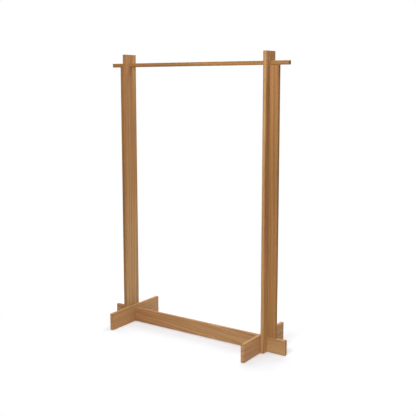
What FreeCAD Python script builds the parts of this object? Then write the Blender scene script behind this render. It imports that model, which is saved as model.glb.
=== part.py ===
"""Oak clothes rack: T-section posts on cross-lapped feet, a base rail and a bar through mortises.

X runs along the bar, Y from front to back, Z up; the origin is on the floor below the rack's centre.
The right-hand end is modelled, and the left-hand end is its mirror image. Sizes are in millimetres.
"""
import FreeCAD, Part
import math
import os

from FreeCAD import Vector

# Boards
board_thickness = 20.0      # every board and the bar are planed to this
edge_radius = 2.0           # eased corner along every exposed long edge
end_chamfer = 1.0           # broken edge round every sawn end

# Base: two feet across one long rail
rail_length = 1200.0
rail_height = 84.0
foot_length = 444.0
foot_height = 100.0
lap_height = 42.0           # height of rail left standing under each notch
lap_clearance = 0.1         # at each cheek of a notch or slot

# Posts
post_height = 1635.0
tall_post_width = 98.0
short_post_width = 52.0
end_overhang = 60.5         # of rail or bar, whichever is shorter, past the short posts

# Hanging bar
bar_length = 1200.0
bar_height = 22.0
post_above_bar = 51.0       # tall post standing above the bar
mortise_clearance = 0.3     # all round the bar

# Dowels and pegs
dowel_diameter = 8.0
dowel_clearance = 0.05      # round a dowel in its hole
hole_relief = 1.0           # empty depth past the end of a dowel, peg or bolt
post_dowel_count = 3
post_dowel_end_margin = 80.0    # first and last dowel from the ends of the short post
post_dowel_in_tall = 13.0
post_dowel_in_short = 27.0
foot_dowel_depth = 12.5     # into foot and tall post alike
foot_dowel_inset = 18.0     # from the tall post's edges
foot_dowel_drop = 25.0      # below the top of the foot
rail_dowel_depth = 20.0     # into rail and short post alike
peg_depth = 28.0            # into the short post

# Bolt from under the rail, and the threaded insert that takes it
bolt_diameter = 6.0
bolt_head_diameter = 10.0
bolt_head_height = 6.0
bolt_socket_width = 5.0     # hexagon, across flats
bolt_socket_depth = 3.0
bolt_hole_clearance = 0.3   # round the shank in the rail
bolt_thread_clearance = 0.05
bolt_engagement = 11.0      # length of shank in the insert
counterbore_depth = 8.0
counterbore_clearance = 0.5     # round the bolt's head
insert_diameter = 10.0
insert_length = 15.0
insert_clearance = 0.05

# Felt pads under the ends of the feet
felt_thickness = 2.0
felt_length = 40.0
felt_width = 14.0
felt_inset = 12.0           # from the end of the foot

# Working values
half_board = board_thickness / 2
base_level = felt_thickness
rail_top = base_level + rail_height
lap_level = base_level + lap_height
foot_top = base_level + foot_height
post_top = base_level + post_height
bar_top = post_top - post_above_bar
bar_seat = bar_top - bar_height
end_width = end_overhang + short_post_width + 2 * board_thickness
foot_spacing = min(rail_length, bar_length) - 2 * end_width     # clear distance between the two feet
foot_inner = foot_spacing / 2
foot_outer = foot_inner + board_thickness
tall_outer = foot_outer + board_thickness
short_outer = tall_outer + short_post_width
short_centre = tall_outer + short_post_width / 2
foot_centre = foot_inner + half_board
tall_centre = foot_outer + half_board
overcut = 1.0               # cutters stand this far out of the faces they open
origin = Vector(0, 0, 0)
along_bar = Vector(1, 0, 0)
along_foot = Vector(0, 1, 0)
upward = Vector(0, 0, 1)


def block(low, high):
    """A box between two opposite corners."""
    return Part.makeBox(high[0] - low[0], high[1] - low[1], high[2] - low[2], Vector(*low))


def lies_along(direction, axis):
    """Whether a unit direction runs along an axis, and not across it."""
    return abs(direction.dot(axis)) > math.cos(math.pi / 4)


def edges_along(prism, axis):
    return [edge for edge in prism.Edges if lies_along(edge.tangentAt(edge.FirstParameter), axis)]


def rounded(prism, axis, radius):
    """Round the edges of a box that run along one axis."""
    return prism.makeFillet(radius, edges_along(prism, axis))


def eased(board, grain):
    """Round a plain board's long edges, which run along the grain, and break the edges of its sawn ends."""
    board = rounded(board, grain, edge_radius)
    ends = [face for face in board.Faces if lies_along(face.normalAt(0, 0), grain)]
    return board.makeChamfer(end_chamfer, [edge for face in ends for edge in face.Edges])


def mirrored(shape):
    """The same shape at the rack's left-hand end."""
    return shape.mirror(origin, along_bar)


def both_ends(shapes):
    return shapes + [mirrored(shape) for shape in shapes]


def whole(shape):
    """The one solid that a run of cuts leaves."""
    return shape.removeSplitter().Solids[0]


def dowel(joint, direction, behind, ahead):
    """A round dowel through a joint face, reaching behind and ahead of it along a direction."""
    return Part.makeCylinder(dowel_diameter / 2, behind + ahead, joint - direction * behind, direction)


def dowel_hole(joint, direction, behind, ahead):
    """The dowel's hole through both boards, with room past each end."""
    start = joint - direction * (behind + hole_relief)
    depth = behind + ahead + 2 * hole_relief
    return Part.makeCylinder(dowel_diameter / 2 + dowel_clearance, depth, start, direction)


def post_dowel_places():
    """Up the glue line between tall and short post, evenly spaced."""
    lowest = rail_top + post_dowel_end_margin
    pitch = (bar_seat - post_dowel_end_margin - lowest) / (post_dowel_count - 1)
    for index in range(post_dowel_count):
        joint = Vector(tall_outer, 0, lowest + index * pitch)
        yield joint, along_bar, post_dowel_in_tall, post_dowel_in_short


def foot_dowel_places():
    """Each side of the rail, where the tall post meets the foot."""
    reach = tall_post_width / 2 - foot_dowel_inset
    for y in (-reach, reach):
        joint = Vector(foot_outer, y, foot_top - foot_dowel_drop)
        yield joint, along_bar, foot_dowel_depth, foot_dowel_depth


def rail_dowel_place():
    """Upright, where the short post stands on the rail."""
    return Vector(short_centre, 0, rail_top), upward, rail_dowel_depth, rail_dowel_depth


def peg_place():
    """Upright, where the bar lies on the short post; the peg is flush with the bar's top."""
    return Vector(short_centre, 0, bar_seat), upward, peg_depth, bar_height


def dowels(places):
    return Part.makeCompound([dowel(*place) for place in places()])


def dowel_holes(places):
    return [dowel_hole(*place) for place in places()]


def upright(radius, bottom, height):
    """A cylinder on the bolt's axis, under the middle of the tall post."""
    return Part.makeCylinder(radius, height, Vector(tall_centre, 0, bottom), upward)


def hexagon_prism(across_flats, centre, height):
    sides = 6
    arm = Vector(across_flats / 2 / math.cos(math.pi / sides), 0, 0)
    turns = [FreeCAD.Rotation(upward, 360 / sides * index) for index in range(sides)]
    corners = [centre + turn.multVec(arm) for turn in turns]
    return Part.Face(Part.makePolygon(corners + corners[:1])).extrude(upward * height)


def base_bolt():
    """Socket-head bolt, whose head sits up in the rail's counterbore."""
    shoulder = base_level + counterbore_depth
    head_bottom = shoulder - bolt_head_height
    head = upright(bolt_head_diameter / 2, head_bottom, bolt_head_height)
    shank = upright(bolt_diameter / 2, shoulder, lap_level + bolt_engagement - shoulder)
    socket = hexagon_prism(bolt_socket_width, Vector(tall_centre, 0, head_bottom), bolt_socket_depth)
    return whole(head.fuse(shank).cut(socket))


def bolt_holes():
    """Counterbore and shank hole through the rail under the lap."""
    bottom = base_level - overcut
    head_radius = bolt_head_diameter / 2 + counterbore_clearance
    shank_radius = bolt_diameter / 2 + bolt_hole_clearance
    return [upright(head_radius, bottom, counterbore_depth + overcut),
            upright(shank_radius, bottom, lap_height + 2 * overcut)]


def threaded_insert():
    """Bush in the ceiling of the tall post's slot, over the bolt."""
    bush = upright(insert_diameter / 2, lap_level, insert_length)
    return bush.cut(upright(bolt_diameter / 2 + bolt_thread_clearance, lap_level, insert_length))


def insert_hole():
    depth = max(insert_length, bolt_engagement) + hole_relief
    return upright(insert_diameter / 2 + insert_clearance, lap_level - overcut, depth + overcut)


def rail_slot():
    """Slot from below through foot and tall post, which drops over the rail."""
    side = half_board + lap_clearance
    low = (foot_inner - overcut, -side, base_level - overcut)
    return block(low, (tall_outer + overcut, side, lap_level))


def rail_notch():
    """Notch from above in the rail, which takes foot and tall post side by side."""
    low = (foot_inner - lap_clearance, -half_board - overcut, lap_level)
    return block(low, (tall_outer + lap_clearance, half_board + overcut, rail_top + overcut))


def bar_mortise():
    """The bar's own section with clearance all round, through the tall post."""
    side = half_board + mortise_clearance
    low = (foot_outer - overcut, -side, bar_seat - mortise_clearance)
    high = (tall_outer + overcut, side, bar_top + mortise_clearance)
    return rounded(block(low, high), along_bar, edge_radius + mortise_clearance)


def base_rail():
    end = rail_length / 2
    board = eased(block((-end, -half_board, base_level), (end, half_board, rail_top)), along_bar)
    # The easing stops at the short post's seat, so that the joint there closes
    seat = block((tall_outer, -half_board, lap_level), (short_outer, half_board, rail_top))
    cutters = [rail_notch(), dowel_hole(*rail_dowel_place())] + bolt_holes()
    return whole(board.fuse(both_ends([seat])).cut(both_ends(cutters)))


def foot():
    end = foot_length / 2
    board = eased(block((foot_inner, -end, base_level), (foot_outer, end, foot_top)), along_foot)
    return whole(board.cut([rail_slot()] + dowel_holes(foot_dowel_places)))


def tall_post():
    side = tall_post_width / 2
    board = eased(block((foot_outer, -side, base_level), (tall_outer, side, post_top)), upward)
    cutters = [rail_slot(), bar_mortise(), insert_hole()]
    cutters += dowel_holes(foot_dowel_places) + dowel_holes(post_dowel_places)
    return whole(board.cut(cutters))


def short_post():
    board = block((tall_outer, -half_board, rail_top), (short_outer, half_board, bar_seat))
    # Only the two outer upright edges are eased; the other edges meet rail, tall post and bar
    shown = [edge for edge in edges_along(board, upward) if edge.CenterOfMass.x > short_centre]
    cutters = [dowel_hole(*rail_dowel_place()), dowel_hole(*peg_place())]
    return whole(board.makeFillet(edge_radius, shown).cut(cutters + dowel_holes(post_dowel_places)))


def hanging_bar():
    end = bar_length / 2
    board = eased(block((-end, -half_board, bar_seat), (end, half_board, bar_top)), along_bar)
    return whole(board.cut(both_ends([dowel_hole(*peg_place())])))


def felt_pads():
    """One pad at each end of the foot, on its flat underside."""
    outer = foot_length / 2 - felt_inset
    low = (foot_centre - felt_width / 2, outer - felt_length, 0)
    pad = block(low, (foot_centre + felt_width / 2, outer, felt_thickness))
    return Part.makeCompound([pad, pad.mirror(origin, along_foot)])


def end_pieces():
    """Every piece of the right-hand end, by name."""
    return {
        "foot": foot(),
        "tall_post": tall_post(),
        "short_post": short_post(),
        "post_dowels": dowels(post_dowel_places),
        "foot_dowels": dowels(foot_dowel_places),
        "rail_dowel": dowel(*rail_dowel_place()),
        "bar_peg": dowel(*peg_place()),
        "base_bolt": base_bolt(),
        "threaded_insert": threaded_insert(),
        "felt_pads": felt_pads(),
    }


def main():
    nodes = {"base_rail": base_rail(), "hanging_bar": hanging_bar()}
    for name, shape in end_pieces().items():
        nodes[name + "_right"] = shape
        nodes[name + "_left"] = mirrored(shape)
    os.makedirs("parts", exist_ok=True)
    for name, shape in nodes.items():
        shape.exportStep("parts/" + name + ".step")


main()
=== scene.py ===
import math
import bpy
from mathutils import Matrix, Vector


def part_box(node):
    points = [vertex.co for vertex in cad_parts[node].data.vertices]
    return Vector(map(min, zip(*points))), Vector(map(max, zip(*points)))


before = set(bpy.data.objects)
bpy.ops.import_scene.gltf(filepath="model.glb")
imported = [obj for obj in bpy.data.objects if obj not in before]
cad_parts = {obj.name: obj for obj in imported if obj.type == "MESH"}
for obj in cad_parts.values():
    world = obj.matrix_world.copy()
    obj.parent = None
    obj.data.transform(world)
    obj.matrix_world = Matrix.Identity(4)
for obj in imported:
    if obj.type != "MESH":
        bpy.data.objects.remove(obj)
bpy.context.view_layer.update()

# Looks of the oak clothes rack: oiled oak boards, beech dowels, zinc bolts, brass inserts and felt pads,
# in a white studio. Lengths are in metres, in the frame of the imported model: X along the bar, Z up.
# Colours are linear.
from types import SimpleNamespace

import bpy
from mathutils import Vector

ends = ("left", "right")

# Camera
camera_place = (2.33738, -3.33143, 1.46119)
camera_yaw = 0.59351            # turned to the left, radians
camera_pitch = 0.1309           # tipped down, radians
camera_lens = 61.971            # millimetres
camera_shift = -0.07            # share of the picture's side

# Oak colours. All but the first two multiply the wood below them.
oak_dark = (0.369, 0.181, 0.070)
oak_light = (0.543, 0.297, 0.128)
oak_golden = (0.98, 1.05, 0.96)         # streaks that are less red
oak_early = (0.80, 0.75, 0.70)          # porous wood that starts each year
oak_pore = (0.50, 0.43, 0.36)           # open pores
oak_ray = (1.10, 1.09, 1.06)            # flecks of the rays
oak_end = (0.92, 0.88, 0.82)            # sawn ends, which drink more oil
oak_handled = (0.84, 0.78, 0.71)        # edges that hands have darkened
oak_fibre = (0.78, 1.22)                # darkest and lightest fibre

# Oak figure. A size is the length of a streak along the grain and its width across it.
ring_width = 0.0031
ring_bends = (0.60, 0.14)
ring_ripples = (0.13, 0.012)
ripple_height = 0.0014          # how far a ripple shifts a ring
early_falloff = 1.8             # how fast the early wood gives way within its year
streak_width = 0.0065           # of the broad streaks, across the rings
golden_width = streak_width / 0.7
golden_seed = 50.0              # sets the golden streaks apart from the broad ones
fibre_size = (0.080, 0.0030)
pore_size = (0.011, 0.00045)
late_pores = 0.15               # share of the pores in late wood
early_pores = 0.90              # and in early wood
ray_rates = (75.0, 130.0, 24.0)         # rays per metre along the grain, per radian, per metre outwards
handled_width = 0.0030          # of the darkened edge
handled_patches = (0.11, 0.016)
handled_least = 0.55            # of the darkening, between its patches

# Oak surface. Pores, rays and ends change the roughness that the fibre gives. Heights are shares of the
# relief.
oak_gloss = 0.15
fibre_roughness = (0.60, 0.76)
pore_roughness = 0.20
ray_roughness = -0.08
end_roughness = 0.12
relief = 0.00016
relief_strength = 0.55
fibre_height = 0.45
pore_height = -1.0
early_height = -0.25

# Each board: where the tree's pith lies from the board's middle (across its width, through its
# thickness), how far the rings drift along a metre, how much they wander, the seed of its figure, and
# what tints it. Some turn to another tint along their length, from and to these places from the middle.
boards = {
    "base_rail": dict(
        pith=(-0.060, 0.075), taper=0.030, wander=0.030, seed=505.0,
        tone=(0.93, 0.87, 0.86), far_tone=(1.03, 1.07, 1.18), turn=(-0.55, 0.45)),
    # The bar's sawn ends are tinted much darker than the other boards' ends: partly end grain that drinks
    # more oil, partly painted shade on ends that face away from the lamps.
    "hanging_bar": dict(
        pith=(0.080, 0.050), taper=0.004, wander=0.004, seed=283.7, end=(0.62, 0.55, 0.48),
        tone=(0.79, 0.69, 0.62), far_tone=(0.89, 0.83, 0.76), turn=(-0.25, 0.10)),
    "foot_left": dict(
        pith=(0.110, 0.040), taper=0.030, wander=0.022, seed=402.4,
        tone=(0.95, 0.93, 0.94), far_tone=(0.93, 0.99, 1.13), turn=(-0.15, 0.15)),
    "foot_right": dict(
        pith=(-0.115, 0.035), taper=0.030, wander=0.022, seed=93.1,
        tone=(1.15, 1.12, 1.24), far_tone=(1.17, 1.19, 1.41), turn=(-0.15, 0.15)),
    # The left tall post's tint grows lighter towards its foot and darker towards its top: painted light
    # and shade along the post.
    "tall_post_left": dict(
        pith=(0.055, 0.075), taper=0.005, wander=0.010, seed=82.8,
        tone=(0.84, 0.78, 0.75), far_tone=(0.98, 1.06, 1.16), turn=(0.38, -0.62)),
    "tall_post_right": dict(
        pith=(-0.090, 0.065), taper=0.005, wander=0.010, seed=551.5, tone=(1.08, 1.07, 1.12)),
    "short_post_left": dict(
        pith=(0.060, 0.075), taper=0.006, wander=0.008, seed=104.2, tone=(0.74, 0.62, 0.53)),
    # The right short post's tint grows darker towards its foot and lighter towards its top: painted shade
    # and light along the post.
    "short_post_right": dict(
        pith=(-0.055, 0.070), taper=0.008, wander=0.008, seed=107.9,
        tone=(0.79, 0.72, 0.64), far_tone=(0.91, 0.83, 0.77), turn=(0.05, 0.60)),
    "bar_peg_left": dict(
        pith=(0.012, 0.020), taper=0.0, wander=0.002, seed=29.6, tone=(0.86, 0.82, 0.76)),
    "bar_peg_right": dict(
        pith=(-0.014, 0.018), taper=0.0, wander=0.002, seed=33.3, tone=(0.86, 0.82, 0.76)),
}

# Other finishes
beech_dark = (0.50, 0.33, 0.19)
beech_light = (0.66, 0.48, 0.30)
beech_fleck = (0.62, 0.50, 0.40)
beech_end = (0.80, 0.75, 0.68)
beech_gloss = 0.3
zinc_blue = (0.50, 0.52, 0.55)
zinc_grey = (0.66, 0.65, 0.61)
zinc_groove = (0.86, 0.86, 0.86)
brass_bright = (0.80, 0.58, 0.24)
brass_tarnished = (0.52, 0.36, 0.15)
felt_dark = (0.06, 0.048, 0.036)
felt_light = (0.26, 0.21, 0.16)
felt_tuft = (0.75, 0.75, 0.75)

# Studio
white = (1.0, 1.0, 1.0)
floor_radius = 1.6
floor_sides = 96
floor_colour = (0.86, 0.875, 0.91)
floor_white = 0.28              # share of plain white that is seen in the floor under the rack
floor_fade = (0.75, 1.30)       # from and to this far out, that share grows to all
soft_light = 0.02               # from all around

# Lamps: soft rectangles that point at the middle of the rack, with their power in watts
lamp_target = (0.0, 0.0, 0.8)
lamps = {
    "overhead_left": dict(place=(-0.8, 0.0, 3.0), size=(2.0, 2.0), power=21.0),
    "overhead_right": dict(place=(0.8, 0.3, 3.0), size=(1.0, 1.0), power=29.0),
    "front": dict(place=(0.8, -2.8, 2.6), size=(1.2, 1.2), power=94.0),
    "low": dict(place=(1.9, -0.4, 0.3), size=(1.0, 1.0), power=4.5),
    "back": dict(place=(-0.4, 2.5, 1.7), size=(3.0, 2.0), power=68.0),
    "left": dict(place=(-2.6, 0.6, 1.4), size=(1.5, 1.5), power=28.0),
}


class Graph:
    """The node tree of a material or a world. Each method adds a node or a few and returns an output."""

    def __init__(self, owner):
        owner.use_nodes = True
        self.tree = owner.node_tree
        self.tree.nodes.clear()

    def add(self, kind, inputs, output=0, **settings):
        node = self.tree.nodes.new("ShaderNode" + kind)
        for name, value in settings.items():
            setattr(node, name, value)
        for name, value in inputs.items():
            if isinstance(value, bpy.types.NodeSocket):
                self.tree.links.new(value, node.inputs[name])
            else:
                node.inputs[name].default_value = value
        return node.outputs[output] if node.outputs else None

    def math(self, operation, *values):
        return self.add("Math", dict(enumerate(values)), operation=operation)

    def vector(self, operation, *values, output=0):
        return self.add("VectorMath", dict(enumerate(values)), output, operation=operation)

    def length(self, vector):
        return self.vector("LENGTH", vector, output="Value")

    def join(self, *parts):
        return self.add("CombineXYZ", dict(enumerate(parts)))

    def split(self, vector):
        return [self.add("SeparateXYZ", {0: vector}, axis) for axis in range(3)]

    def noise(self, vector, detail=2.0, roughness=0.5, distortion=0.0):
        inputs = {"Vector": vector, "Scale": 1.0, "Detail": detail, "Roughness": roughness}
        return self.add("TexNoise", {**inputs, "Distortion": distortion})

    def stretched(self, place, along, across, seed=0.0, **noise):
        """Noise with this many waves per metre along the grain and across it."""
        scaled = self.vector("MULTIPLY_ADD", place, (along, across, across), (seed, seed, seed))
        return self.noise(scaled, **noise)

    def between(self, value, low, high):
        """0 below low, 1 above high, smooth between them; the other way round if low is above high."""
        inputs = {"Value": value, "From Min": low, "From Max": high}
        return self.add("MapRange", inputs, interpolation_type="SMOOTHSTEP")

    def span(self, value, start, end):
        """From start, where the value is 0, straight to end, where it is 1."""
        return self.math("MULTIPLY_ADD", value, end - start, start)

    def plus(self, total, value, weight):
        """The total with a weighted value added."""
        return self.math("MULTIPLY_ADD", value, weight, total)

    def swing(self, noise, size):
        """A noise as a shift to both sides of zero."""
        return self.math("MULTIPLY", self.math("SUBTRACT", noise, 0.5), size)

    def mix(self, factor, first, second, blend="MIX"):
        # Inputs 6 and 7 and output 2 are the ones for colours
        inputs = {0: factor, 6: solid(first), 7: solid(second)}
        return self.add("Mix", inputs, 2, data_type="RGBA", blend_type=blend)

    def tint(self, factor, colour, by):
        return self.mix(factor, colour, by, "MULTIPLY")

    def bump(self, height, depth, strength):
        return self.add("Bump", {"Height": height, "Distance": depth, "Strength": strength})

    def surface(self, **sockets):
        """A principled surface, with its sockets named with underscores."""
        inputs = {name.replace("_", " "): value for name, value in sockets.items()}
        self.add("OutputMaterial", {"Surface": self.add("BsdfPrincipled", inputs)})


def solid(colour):
    """A plain colour made opaque. A node's output stays as it is."""
    return (*colour, 1.0) if isinstance(colour, tuple) else colour


def grain_axes(node):
    """A board's axes, longest first: along the grain, across its width, through its thickness."""
    low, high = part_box(node)
    size = high - low
    return sorted(range(3), key=lambda axis: -size[axis])


def local_place(graph, node):
    """A point's place from the middle of its node, as along, across and through the board."""
    low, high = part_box(node)
    place = graph.add("TexCoord", {}, "Object")
    parts = graph.split(graph.vector("SUBTRACT", place, (low + high) / 2))
    return [parts[axis] for axis in grain_axes(node)]


def end_grain(graph, node):
    """1 on sawn ends, 0 on the sides."""
    normal = graph.split(graph.add("TexCoord", {}, "Normal"))
    return graph.between(graph.math("ABSOLUTE", normal[grain_axes(node)[0]]), low=0.75, high=0.95)


def edge_nearness(graph, node, place, width):
    """1 on the edges of the node's box, falling to 0 at a width from them."""
    low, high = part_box(node)
    half = (high - low) / 2
    gaps = []
    for axis, part in zip(grain_axes(node), place):
        gaps.append(graph.math("SUBTRACT", half[axis], graph.math("ABSOLUTE", part)))
    nearer = graph.math("MINIMUM", gaps[0], gaps[1])
    further = graph.math("MAXIMUM", gaps[0], gaps[1])
    second = graph.math("MAXIMUM", nearer, graph.math("MINIMUM", further, gaps[2]))
    return graph.between(second, low=width, high=0.0)


def oak_grain(graph, node, pith, taper, wander, seed):
    """What an oak board shows of its tree and its use, as masks from 0 to 1, and the place along it."""
    place = local_place(graph, node)
    along, across, through = place
    whole = graph.join(*place)

    def streaks(size, **noise):
        length, width = size
        return graph.stretched(whole, 1 / length, 1 / width, seed, **noise)

    # Growth rings about the pith, by how far out they lie
    side = graph.math("SUBTRACT", across, pith[0])
    depth = graph.math("SUBTRACT", through, pith[1])
    radius = graph.length(graph.join(0.0, side, depth))
    rings = graph.plus(radius, along, taper)
    rings = graph.math("ADD", rings, graph.swing(streaks(ring_bends), wander))
    rings = graph.math("ADD", rings, graph.swing(streaks(ring_ripples), ripple_height))
    year = graph.math("FRACT", graph.math("DIVIDE", rings, ring_width))
    early = graph.math("POWER", graph.math("SUBTRACT", 1.0, year), early_falloff)

    # Broad streaks follow the rings, so they arch where the rings do
    broad = graph.join(graph.math("DIVIDE", rings, streak_width), along, seed)
    golden = graph.join(graph.math("DIVIDE", rings, golden_width), along, seed + golden_seed)

    # Rays are thin sheets that stand out from the pith
    angle = graph.math("ARCTAN2", side, depth)
    sheets = graph.vector("MULTIPLY_ADD", graph.join(along, angle, radius), ray_rates, (seed, 0, 0))

    dashes = graph.between(streaks(pore_size, detail=1.0), low=0.58, high=0.68)
    patches = graph.between(streaks(handled_patches), low=0.30, high=0.62)
    edges = edge_nearness(graph, node, place, handled_width)
    return SimpleNamespace(
        along=along,
        early=early,
        figure=graph.between(graph.noise(broad, detail=3.0, roughness=0.55), low=0.30, high=0.70),
        golden=graph.between(graph.noise(golden), low=0.42, high=0.58),
        fibre=streaks(fibre_size, detail=4.0, roughness=0.65),
        pores=graph.math("MULTIPLY", dashes, graph.span(early, late_pores, early_pores)),
        rays=graph.between(graph.noise(sheets, detail=1.0), low=0.62, high=0.70),
        sawn=end_grain(graph, node),
        handled=graph.math("MULTIPLY", edges, graph.span(patches, handled_least, 1.0)))


def oak_colour(graph, grain, tone, far_tone, turn, end):
    """The colour of an oak board, from its tints and its grain."""
    # Some boards turn to another tint along their length; on the left tall post and the right short post
    # this is painted light and shade.
    if far_tone:
        tone = graph.mix(graph.between(grain.along, *turn), tone, far_tone)
    colour = graph.mix(grain.figure, oak_dark, oak_light)
    colour = graph.tint(grain.golden, colour, oak_golden)
    colour = graph.tint(grain.early, colour, oak_early)
    colour = graph.tint(grain.rays, colour, oak_ray)
    colour = graph.tint(1.0, colour, tone)
    shade = graph.span(grain.fibre, *oak_fibre)
    colour = graph.vector("MULTIPLY", colour, graph.join(shade, shade, shade))
    colour = graph.tint(grain.pores, colour, oak_pore)
    # Sawn ends darken: end grain that drinks more oil, and on the bar also painted shade.
    colour = graph.tint(grain.sawn, colour, end)
    return graph.tint(grain.handled, colour, oak_handled)


def oak(node, tone, far_tone=None, turn=None, end=oak_end, **growth):
    """Oiled oak with pores, rays, darker ends and edges darkened by hands."""
    material = bpy.data.materials.new("oak_" + node)
    graph = Graph(material)
    grain = oak_grain(graph, node, **growth)
    colour = oak_colour(graph, grain, tone, far_tone, turn, end)
    roughness = graph.span(grain.fibre, *fibre_roughness)
    roughness = graph.plus(roughness, grain.pores, pore_roughness)
    roughness = graph.plus(roughness, grain.rays, ray_roughness)
    roughness = graph.plus(roughness, grain.sawn, end_roughness)
    height = graph.math("MULTIPLY", grain.fibre, fibre_height)
    height = graph.plus(height, grain.pores, pore_height)
    height = graph.plus(height, grain.early, early_height)
    normal = graph.bump(height, relief, relief_strength)
    graph.surface(Base_Color=colour, Roughness=roughness, Normal=normal, Specular_IOR_Level=oak_gloss)
    return material


def beech(node):
    """Raw beech: pale and even, with short dark flecks and fine fibre."""
    material = bpy.data.materials.new("beech_" + node)
    graph = Graph(material)
    whole = graph.join(*local_place(graph, node))
    fibre = graph.stretched(whole, along=22.0, across=900.0, detail=3.0, roughness=0.6)
    flecks = graph.stretched(whole, along=320.0, across=1900.0, detail=1.0)
    flecks = graph.between(flecks, low=0.64, high=0.72)
    bands = graph.stretched(whole, along=3.0, across=160.0)
    colour = graph.mix(bands, beech_dark, beech_light)
    colour = graph.tint(flecks, colour, beech_fleck)
    colour = graph.tint(end_grain(graph, node), colour, beech_end)
    roughness = graph.span(fibre, start=0.62, end=0.82)
    normal = graph.bump(graph.math("SUBTRACT", fibre, flecks), depth=0.0001, strength=0.5)
    graph.surface(Base_Color=colour, Roughness=roughness, Normal=normal, Specular_IOR_Level=beech_gloss)
    return material


def zinc(node):
    """Zinc-plated steel: fine turning marks and cloudy plating."""
    material = bpy.data.materials.new("zinc_" + node)
    graph = Graph(material)
    whole = graph.join(*local_place(graph, node))
    turning = graph.stretched(whole, along=5200.0, across=60.0)
    clouds = graph.stretched(whole, along=240.0, across=240.0, detail=3.0)
    grooves = graph.between(turning, low=0.55, high=0.75)
    colour = graph.tint(grooves, graph.mix(clouds, zinc_blue, zinc_grey), zinc_groove)
    roughness = graph.span(clouds, start=0.24, end=0.46)
    normal = graph.bump(turning, depth=0.00003, strength=0.5)
    graph.surface(Base_Color=colour, Metallic=1.0, Roughness=roughness, Normal=normal)
    return material


def brass(node):
    """Turned brass with fine rings and a little tarnish."""
    material = bpy.data.materials.new("brass_" + node)
    graph = Graph(material)
    whole = graph.join(*local_place(graph, node))
    turning = graph.stretched(whole, along=3600.0, across=80.0)
    clouds = graph.stretched(whole, along=300.0, across=300.0, detail=3.0)
    tarnish = graph.between(clouds, low=0.35, high=0.7)
    colour = graph.mix(tarnish, brass_bright, brass_tarnished)
    roughness = graph.span(clouds, start=0.20, end=0.45)
    normal = graph.bump(turning, depth=0.00004, strength=0.5)
    graph.surface(Base_Color=colour, Metallic=1.0, Roughness=roughness, Normal=normal)
    return material


def felt(node):
    """Pressed wool felt: tangled fibres of several browns, with a soft sheen."""
    material = bpy.data.materials.new("felt_" + node)
    graph = Graph(material)
    whole = graph.join(*local_place(graph, node))
    tangle = graph.stretched(whole, along=900.0, across=900.0, detail=4.0, distortion=2.5)
    tufts = graph.stretched(whole, along=180.0, across=180.0)
    colour = graph.tint(tufts, graph.mix(tangle, felt_dark, felt_light), felt_tuft)
    height = graph.plus(tangle, tufts, weight=0.6)
    normal = graph.bump(height, depth=0.0004, strength=0.8)
    graph.surface(Base_Color=colour, Roughness=0.95, Normal=normal, Sheen_Weight=0.4, Sheen_Roughness=0.5)
    return material


def finish_nodes():
    """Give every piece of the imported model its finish."""
    finishes = {node: oak(node, **board) for node, board in boards.items()}
    for end in ends:
        for name in ("post_dowels", "foot_dowels", "rail_dowel"):
            finishes[f"{name}_{end}"] = beech(f"{name}_{end}")
        finishes["base_bolt_" + end] = zinc("base_bolt_" + end)
        finishes["threaded_insert_" + end] = brass("threaded_insert_" + end)
        finishes["felt_pads_" + end] = felt("felt_pads_" + end)
    for node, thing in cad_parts.items():
        thing.data.materials.clear()
        thing.data.materials.append(finishes[node])


def seen_rays(graph):
    """1 for what the camera sees, straight or in gloss or glass, and 0 for light on other things."""
    names = ("Is Camera Ray", "Is Glossy Ray", "Is Transmission Ray")
    paths = [graph.add("LightPath", {}, name) for name in names]
    return graph.math("MAXIMUM", graph.math("MAXIMUM", paths[0], paths[1]), paths[2])


def studio_floor():
    """White floor: it bounces light and keeps the rack's shadow, and is seen as white away from it."""
    bpy.ops.mesh.primitive_circle_add(vertices=floor_sides, radius=floor_radius, fill_type="NGON")
    floor = bpy.context.object
    floor.name = "floor"
    material = bpy.data.materials.new("floor")
    graph = Graph(material)
    reach = graph.length(graph.add("TexCoord", {}, "Object"))
    plain = graph.span(graph.between(reach, *floor_fade), floor_white, 1.0)
    share = graph.math("MULTIPLY", seen_rays(graph), plain)
    matt = graph.add("BsdfDiffuse", {"Color": solid(floor_colour)})
    glow = graph.add("Emission", {"Color": solid(white), "Strength": 1.0})
    graph.add("OutputMaterial", {"Surface": graph.add("MixShader", {0: share, 1: matt, 2: glow})})
    floor.data.materials.append(material)


def studio_world():
    """White to the camera, and a soft light on everything else."""
    world = bpy.data.worlds.new("studio")
    graph = Graph(world)
    strength = graph.span(seen_rays(graph), soft_light, 1.0)
    background = graph.add("Background", {"Color": solid(white), "Strength": strength})
    graph.add("OutputWorld", {"Surface": background})
    bpy.context.scene.world = world


def area_light(name, place, size, power):
    """A soft lamp that points at the rack."""
    light = bpy.data.lights.new(name, "AREA")
    light.shape = "RECTANGLE"
    light.size, light.size_y = size
    light.energy = power
    lamp = bpy.data.objects.new(name, light)
    lamp.location = place
    lamp.rotation_euler = (Vector(lamp_target) - Vector(place)).to_track_quat("-Z", "Y").to_euler()
    bpy.context.scene.collection.objects.link(lamp)


def add_camera():
    """The camera, with everything in focus."""
    camera = bpy.data.cameras.new("camera")
    camera.lens = camera_lens
    camera.shift_y = camera_shift
    holder = bpy.data.objects.new("camera", camera)
    holder.location = camera_place
    holder.rotation_euler = (math.pi / 2 - camera_pitch, 0, camera_yaw)
    bpy.context.scene.collection.objects.link(holder)
    bpy.context.scene.camera = holder


finish_nodes()
studio_floor()
studio_world()
for name, lamp in lamps.items():
    area_light(name, **lamp)
add_camera()
bpy.context.scene.view_settings.view_transform = "Standard"
